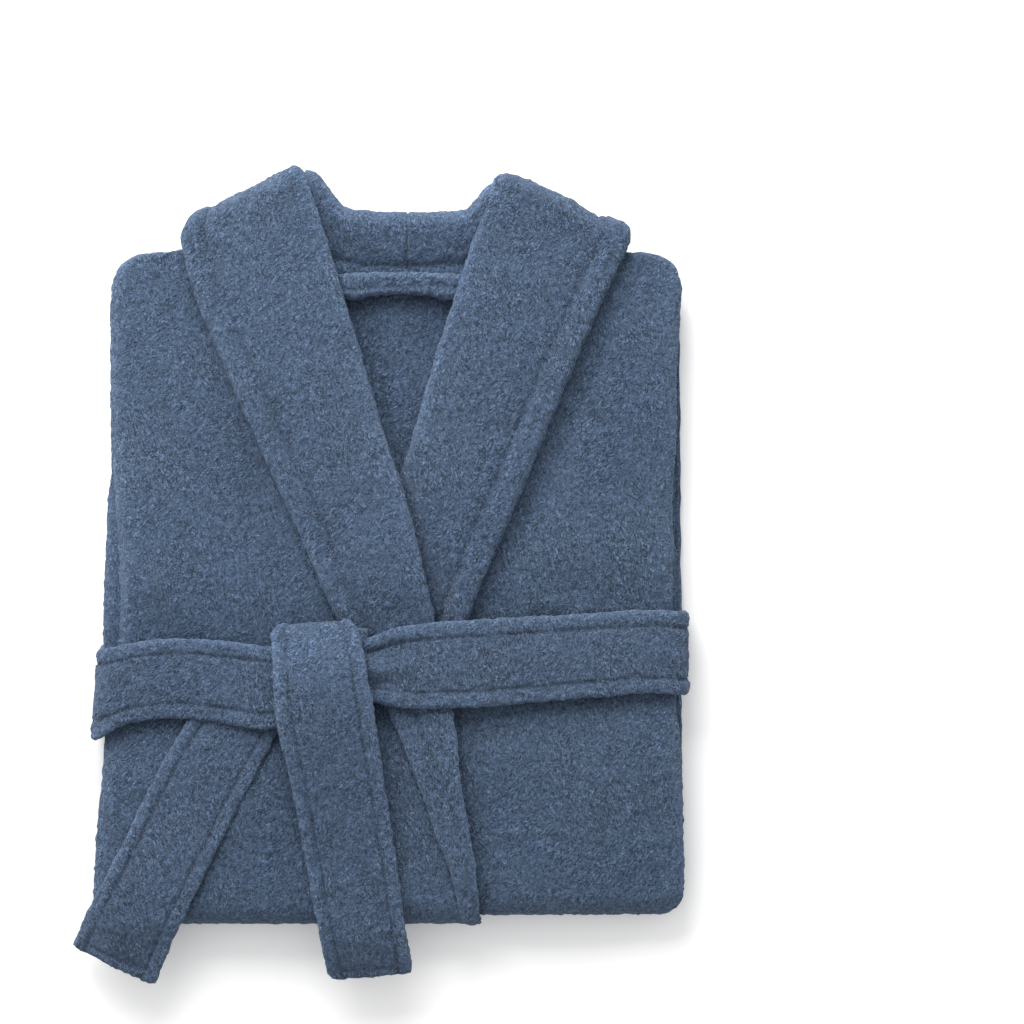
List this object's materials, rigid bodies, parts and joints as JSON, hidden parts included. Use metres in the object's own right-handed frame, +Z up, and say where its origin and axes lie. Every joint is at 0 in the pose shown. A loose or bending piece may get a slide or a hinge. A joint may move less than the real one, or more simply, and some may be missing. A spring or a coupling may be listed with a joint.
{
  "type": "bathrobe",
  "caption": "Fleece bathrobe with a shawl collar, folded flat with the front up and tied with its own stitched belt, tails hanging past the lower fold.",
  "frame": {"origin": "middle of the folded robe's footprint, on the surface that it lies on", "axes": "+X to the right seen from above, +Y from the lower fold towards the collar, +Z up from the surface, out of the robe's front"},
  "size_m": [0.4298, 0.5704, 0.0654],
  "materials": {
    "fleece_outer": "matte dusty blue fleece with a short nubby pile",
    "fleece_collar": "matte dusty blue fleece, two plies turned and edge stitched",
    "fleece_inner": "matte dusty blue fleece, inner side, same short pile",
    "fleece_belt": "matte dusty blue fleece strip with a line of stitching along each edge"
  },
  "bodies": {
    "robe": {"back_panel": "fleece_inner", "front_panel_right": "fleece_outer", "front_panel_left": "fleece_outer", "sleeve_left": "fleece_inner", "sleeve_right": "fleece_inner", "cuff_left": "fleece_collar", "cuff_right": "fleece_collar", "collar_left_lower": "fleece_collar", "collar_right_lower": "fleece_collar", "neck_band_left": "fleece_collar", "neck_band_right": "fleece_collar", "belt_back_run": "fleece_belt", "belt_run_left": "fleece_belt", "belt_run_right": "fleece_belt", "belt_knot": "fleece_belt"},
    "lapel_left": {"collar_left_lapel": "fleece_collar"},
    "lapel_right": {"collar_right_lapel": "fleece_collar"},
    "loop": {"hanging_loop": "fleece_belt"},
    "tail_front": {"belt_tail_front": "fleece_belt"},
    "tail_left": {"belt_tail_left": "fleece_belt"}
  },
  "joints": [
    {"name": "lapel_left_lift", "type": "hinge", "parent": "robe", "child": "lapel_left", "pos_m": [-0.05066, 0.26776, 0.0481], "axis": [-0.2785, 0.9604, 0], "range_deg": [0, 50]},
    {"name": "lapel_right_lift", "type": "hinge", "parent": "robe", "child": "lapel_right", "pos_m": [0.07534, 0.26576, 0.0373], "axis": [-0.3099, -0.9508, 0], "range_deg": [0, 50]},
    {"name": "loop_flip", "type": "hinge", "parent": "robe", "child": "loop", "pos_m": [0.01, 0.20976, 0.03], "axis": [-1, 0, 0], "range_deg": [0, 120]},
    {"name": "tail_front_lift", "type": "hinge", "parent": "robe", "child": "tail_front", "pos_m": [-0.04666, -0.03896, 0.0654], "axis": [-0.9885, -0.151, 0], "range_deg": [0, 110]},
    {"name": "tail_left_lift", "type": "hinge", "parent": "robe", "child": "tail_left", "pos_m": [-0.10666, -0.10941, 0.0443], "axis": [-1, 0, 0], "range_deg": [0, 100]}
  ]
}
